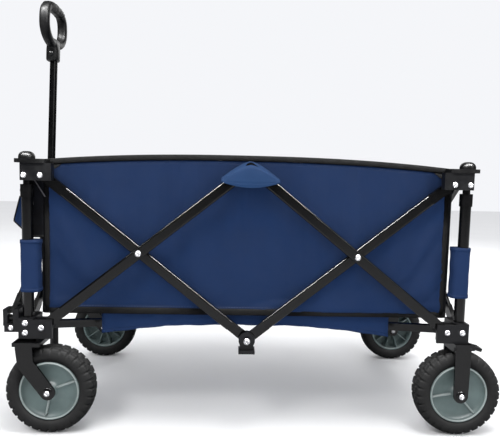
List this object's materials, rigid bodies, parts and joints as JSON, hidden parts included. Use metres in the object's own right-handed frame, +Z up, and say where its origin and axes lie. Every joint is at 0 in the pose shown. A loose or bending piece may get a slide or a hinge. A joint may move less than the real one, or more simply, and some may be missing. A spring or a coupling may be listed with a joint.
{
  "type": "folding camp wagon",
  "caption": "Folding camp wagon: a cloth tub in a scissor-folding tube frame on four wheels, with swivel front casters and a telescoping pull handle",
  "frame": {"origin": "on the ground under the middle of the bounding box", "axes": "+Z up, -X the front where the handle is, -Y the near long side"},
  "size_m": [1.037, 0.5182, 0.9351],
  "materials": {
    "navy_cloth": "coated plain-weave polyester",
    "black_tube": "satin powder coat",
    "black_plastic": "fine texture",
    "grey_plastic": "semi-matt moulded",
    "tyre_rubber": "matt",
    "grip_rubber": "ribbed soft"
  },
  "bodies": {
    "middle_hub": {"tub": "navy_cloth", "middle_hub_near": "black_plastic"},
    "down_bar_near_front": {"down_bar_near_front": "black_tube"},
    "up_bar_near_front": {"up_bar_near_front": "black_tube"},
    "upper_corner_near_front": {"upper_bracket_near_front": "black_plastic", "inner_post_near_front": "black_tube", "post_cap_near_front": "black_plastic"},
    "lower_corner_near_front": {"lower_bracket_near_front": "black_plastic", "outer_post_near_front": "black_tube"},
    "floor_strut_near_front": {"floor_strut_near_front": "black_tube"},
    "caster_near": {"fork_near_front": "black_tube"},
    "wheel_near_front": {"tyre_near_front": "tyre_rubber", "rim_near_front": "grey_plastic"},
    "down_bar_near_rear": {"down_bar_near_rear": "black_tube"},
    "up_bar_near_rear": {"up_bar_near_rear": "black_tube"},
    "upper_corner_near_rear": {"upper_bracket_near_rear": "black_plastic", "inner_post_near_rear": "black_tube", "post_cap_near_rear": "black_plastic"},
    "lower_corner_near_rear": {"lower_bracket_near_rear": "black_plastic", "outer_post_near_rear": "black_tube", "fork_near_rear": "black_tube"},
    "floor_strut_near_rear": {"floor_strut_near_rear": "black_tube"},
    "brake_near": {"brake_pedal_near": "black_plastic"},
    "wheel_near_rear": {"tyre_near_rear": "tyre_rubber", "rim_near_rear": "grey_plastic"},
    "down_bar_far_front": {"down_bar_far_front": "black_tube"},
    "up_bar_far_front": {"up_bar_far_front": "black_tube"},
    "upper_corner_far_front": {"upper_bracket_far_front": "black_plastic", "inner_post_far_front": "black_tube", "post_cap_far_front": "black_plastic"},
    "lower_corner_far_front": {"lower_bracket_far_front": "black_plastic", "outer_post_far_front": "black_tube"},
    "floor_strut_far_front": {"floor_strut_far_front": "black_tube"},
    "caster_far": {"fork_far_front": "black_tube"},
    "wheel_far_front": {"tyre_far_front": "tyre_rubber", "rim_far_front": "grey_plastic"},
    "down_bar_far_rear": {"down_bar_far_rear": "black_tube"},
    "up_bar_far_rear": {"up_bar_far_rear": "black_tube"},
    "upper_corner_far_rear": {"upper_bracket_far_rear": "black_plastic", "inner_post_far_rear": "black_tube", "post_cap_far_rear": "black_plastic"},
    "lower_corner_far_rear": {"lower_bracket_far_rear": "black_plastic", "outer_post_far_rear": "black_tube", "fork_far_rear": "black_tube"},
    "floor_strut_far_rear": {"floor_strut_far_rear": "black_tube"},
    "brake_far": {"brake_pedal_far": "black_plastic"},
    "wheel_far_rear": {"tyre_far_rear": "tyre_rubber", "rim_far_rear": "grey_plastic"},
    "end_bar_inner_front": {"end_bar_inner_front": "black_tube"},
    "end_bar_outer_front": {"end_bar_outer_front": "black_tube"},
    "end_bar_inner_rear": {"end_bar_inner_rear": "black_tube"},
    "end_bar_outer_rear": {"end_bar_outer_rear": "black_tube"},
    "far_hub": {"middle_hub_far": "black_plastic"},
    "handle_link_near": {"handle_link_near": "black_tube"},
    "handle_link_far": {"handle_link_far": "black_tube"},
    "yoke": {"handle_yoke": "black_plastic"},
    "handle": {"handle_sleeve": "black_tube"},
    "pole": {"handle_pole": "black_tube", "handle_grip": "grip_rubber"}
  },
  "joints": [
    {"name": "fold", "type": "hinge", "parent": "middle_hub", "child": "down_bar_near_front", "pos_m": [-0.0215, -0.221, 0.19664], "axis": [0, 1, 0], "range_deg": [0, 36], "deforming": ["tub"]},
    {"name": "cross_near_front", "type": "hinge", "parent": "down_bar_near_front", "child": "up_bar_near_front", "pos_m": [-0.24638, -0.228, 0.37616], "axis": [0, -1, 0], "range_deg": [0, 72]},
    {"name": "upper_near_front", "type": "hinge", "parent": "down_bar_near_front", "child": "upper_corner_near_front", "pos_m": [-0.4395, -0.221, 0.53033], "axis": [0, -1, 0], "range_deg": [0, 36]},
    {"name": "lower_near_front", "type": "hinge", "parent": "up_bar_near_front", "child": "lower_corner_near_front", "pos_m": [-0.4395, -0.235, 0.222], "axis": [0, 1, 0], "range_deg": [0, 36]},
    {"name": "end_inner_near_front", "type": "hinge", "parent": "upper_corner_near_front", "child": "end_bar_inner_front", "pos_m": [-0.4645, -0.19312, 0.53033], "axis": [-1, 0, 0], "range_deg": [0, 36]},
    {"name": "end_outer_near_front", "type": "hinge", "parent": "lower_corner_near_front", "child": "end_bar_outer_front", "pos_m": [-0.4785, -0.19312, 0.222], "axis": [1, 0, 0], "range_deg": [0, 36]},
    {"name": "end_inner_far_front", "type": "hinge", "parent": "end_bar_inner_front", "child": "lower_corner_far_front", "pos_m": [-0.4645, 0.19312, 0.222], "axis": [1, 0, 0], "range_deg": [0, 36]},
    {"name": "end_outer_far_front", "type": "hinge", "parent": "end_bar_outer_front", "child": "upper_corner_far_front", "pos_m": [-0.4785, 0.19312, 0.53033], "axis": [-1, 0, 0], "range_deg": [0, 36]},
    {"name": "upper_far_front", "type": "hinge", "parent": "upper_corner_far_front", "child": "down_bar_far_front", "pos_m": [-0.4395, 0.221, 0.53033], "axis": [0, 1, 0], "range_deg": [0, 36]},
    {"name": "lower_far_front", "type": "hinge", "parent": "lower_corner_far_front", "child": "up_bar_far_front", "pos_m": [-0.4395, 0.235, 0.222], "axis": [0, -1, 0], "range_deg": [0, 36]},
    {"name": "hub_near_rear", "type": "hinge", "parent": "middle_hub", "child": "down_bar_near_rear", "pos_m": [-0.0215, -0.221, 0.19664], "axis": [0, -1, 0], "range_deg": [0, 36]},
    {"name": "cross_near_rear", "type": "hinge", "parent": "down_bar_near_rear", "child": "up_bar_near_rear", "pos_m": [0.20338, -0.228, 0.37616], "axis": [0, 1, 0], "range_deg": [0, 72]},
    {"name": "upper_near_rear", "type": "hinge", "parent": "down_bar_near_rear", "child": "upper_corner_near_rear", "pos_m": [0.3965, -0.221, 0.53033], "axis": [0, 1, 0], "range_deg": [0, 36]},
    {"name": "lower_near_rear", "type": "hinge", "parent": "up_bar_near_rear", "child": "lower_corner_near_rear", "pos_m": [0.3965, -0.235, 0.222], "axis": [0, -1, 0], "range_deg": [0, 36]},
    {"name": "end_inner_near_rear", "type": "hinge", "parent": "upper_corner_near_rear", "child": "end_bar_inner_rear", "pos_m": [0.4215, -0.19312, 0.53033], "axis": [-1, 0, 0], "range_deg": [0, 36]},
    {"name": "end_outer_near_rear", "type": "hinge", "parent": "lower_corner_near_rear", "child": "end_bar_outer_rear", "pos_m": [0.4355, -0.19312, 0.222], "axis": [1, 0, 0], "range_deg": [0, 36]},
    {"name": "end_inner_far_rear", "type": "hinge", "parent": "end_bar_inner_rear", "child": "lower_corner_far_rear", "pos_m": [0.4215, 0.19312, 0.222], "axis": [1, 0, 0], "range_deg": [0, 36]},
    {"name": "end_outer_far_rear", "type": "hinge", "parent": "end_bar_outer_rear", "child": "upper_corner_far_rear", "pos_m": [0.4355, 0.19312, 0.53033], "axis": [-1, 0, 0], "range_deg": [0, 36]},
    {"name": "upper_far_rear", "type": "hinge", "parent": "upper_corner_far_rear", "child": "down_bar_far_rear", "pos_m": [0.3965, 0.221, 0.53033], "axis": [0, -1, 0], "range_deg": [0, 36]},
    {"name": "lower_far_rear", "type": "hinge", "parent": "lower_corner_far_rear", "child": "up_bar_far_rear", "pos_m": [0.3965, 0.235, 0.222], "axis": [0, 1, 0], "range_deg": [0, 36]},
    {"name": "hub_far", "type": "hinge", "parent": "down_bar_far_front", "child": "far_hub", "pos_m": [-0.0215, 0.221, 0.19664], "axis": [0, -1, 0], "range_deg": [0, 36]},
    {"name": "strut_near_front", "type": "hinge", "parent": "lower_corner_near_front", "child": "floor_strut_near_front", "pos_m": [-0.4395, -0.19312, 0.216], "axis": [0.4194, -0.9078, 0], "range_deg": [0, 75.6]},
    {"name": "caster_near_swivel", "type": "hinge", "parent": "lower_corner_near_front", "child": "caster_near", "pos_m": [-0.4715, -0.22512, 0.19], "axis": [0, 0, 1], "continuous": true},
    {"name": "wheel_near_front_spin", "type": "hinge", "parent": "caster_near", "child": "wheel_near_front", "pos_m": [-0.4245, -0.22512, 0.09], "axis": [0, 1, 0], "continuous": true},
    {"name": "strut_near_rear", "type": "hinge", "parent": "lower_corner_near_rear", "child": "floor_strut_near_rear", "pos_m": [0.3965, -0.19312, 0.216], "axis": [0.4194, 0.9078, 0], "range_deg": [0, 75.6]},
    {"name": "wheel_near_rear_spin", "type": "hinge", "parent": "lower_corner_near_rear", "child": "wheel_near_rear", "pos_m": [0.4285, -0.22512, 0.09], "axis": [0, 1, 0], "continuous": true},
    {"name": "brake_near_press", "type": "hinge", "parent": "lower_corner_near_rear", "child": "brake_near", "pos_m": [0.4525, -0.22512, 0.189], "axis": [0, 1, 0], "range_deg": [0, 15]},
    {"name": "strut_far_front", "type": "hinge", "parent": "lower_corner_far_front", "child": "floor_strut_far_front", "pos_m": [-0.4395, 0.19312, 0.216], "axis": [-0.4194, -0.9078, 0], "range_deg": [0, 75.6]},
    {"name": "caster_far_swivel", "type": "hinge", "parent": "lower_corner_far_front", "child": "caster_far", "pos_m": [-0.4715, 0.22512, 0.19], "axis": [0, 0, 1], "continuous": true},
    {"name": "wheel_far_front_spin", "type": "hinge", "parent": "caster_far", "child": "wheel_far_front", "pos_m": [-0.4245, 0.22512, 0.09], "axis": [0, 1, 0], "continuous": true},
    {"name": "strut_far_rear", "type": "hinge", "parent": "lower_corner_far_rear", "child": "floor_strut_far_rear", "pos_m": [0.3965, 0.19312, 0.216], "axis": [-0.4194, 0.9078, 0], "range_deg": [0, 75.6]},
    {"name": "wheel_far_rear_spin", "type": "hinge", "parent": "lower_corner_far_rear", "child": "wheel_far_rear", "pos_m": [0.4285, 0.22512, 0.09], "axis": [0, 1, 0], "continuous": true},
    {"name": "brake_far_press", "type": "hinge", "parent": "lower_corner_far_rear", "child": "brake_far", "pos_m": [0.4525, 0.22512, 0.189], "axis": [0, 1, 0], "range_deg": [0, 15]},
    {"name": "link_near_turn", "type": "hinge", "parent": "lower_corner_near_front", "child": "handle_link_near", "pos_m": [-0.5035, -0.22312, 0.24], "axis": [1, 0, 0], "range_deg": [0, 36]},
    {"name": "link_far_turn", "type": "hinge", "parent": "lower_corner_far_front", "child": "handle_link_far", "pos_m": [-0.5035, 0.22312, 0.24], "axis": [-1, 0, 0], "range_deg": [0, 36]},
    {"name": "yoke_turn", "type": "hinge", "parent": "handle_link_near", "child": "yoke", "pos_m": [-0.5035, -0.03, 0.39416], "axis": [-1, 0, 0], "range_deg": [0, 36]},
    {"name": "handle_tilt", "type": "hinge", "parent": "yoke", "child": "handle", "pos_m": [-0.5075, 0, 0.39416], "axis": [0, -1, 0], "range_deg": [0, 95]},
    {"name": "handle_extend", "type": "slide", "parent": "handle", "child": "pole", "axis": [0.0332, 0, 0.9995], "range_m": [0, 0.09]}
  ],
  "couplings": [
    {"joint": "cross_near_front", "follows": "fold", "ratio": 2},
    {"joint": "upper_near_front", "follows": "fold", "ratio": 1},
    {"joint": "lower_near_front", "follows": "fold", "ratio": 1},
    {"joint": "end_inner_near_front", "follows": "fold", "ratio": 1},
    {"joint": "end_outer_near_front", "follows": "fold", "ratio": 1},
    {"joint": "end_inner_far_front", "follows": "fold", "ratio": 1},
    {"joint": "end_outer_far_front", "follows": "fold", "ratio": 1},
    {"joint": "upper_far_front", "follows": "fold", "ratio": 1},
    {"joint": "lower_far_front", "follows": "fold", "ratio": 1},
    {"joint": "hub_near_rear", "follows": "fold", "ratio": 1},
    {"joint": "cross_near_rear", "follows": "fold", "ratio": 2},
    {"joint": "upper_near_rear", "follows": "fold", "ratio": 1},
    {"joint": "lower_near_rear", "follows": "fold", "ratio": 1},
    {"joint": "end_inner_near_rear", "follows": "fold", "ratio": 1},
    {"joint": "end_outer_near_rear", "follows": "fold", "ratio": 1},
    {"joint": "end_inner_far_rear", "follows": "fold", "ratio": 1},
    {"joint": "end_outer_far_rear", "follows": "fold", "ratio": 1},
    {"joint": "upper_far_rear", "follows": "fold", "ratio": 1},
    {"joint": "lower_far_rear", "follows": "fold", "ratio": 1},
    {"joint": "hub_far", "follows": "fold", "ratio": 1},
    {"joint": "strut_near_front", "follows": "fold", "ratio": 2.1},
    {"joint": "strut_near_rear", "follows": "fold", "ratio": 2.1},
    {"joint": "strut_far_front", "follows": "fold", "ratio": 2.1},
    {"joint": "strut_far_rear", "follows": "fold", "ratio": 2.1},
    {"joint": "link_near_turn", "follows": "fold", "ratio": 1},
    {"joint": "link_far_turn", "follows": "fold", "ratio": 1},
    {"joint": "yoke_turn", "follows": "fold", "ratio": 1}
  ]
}
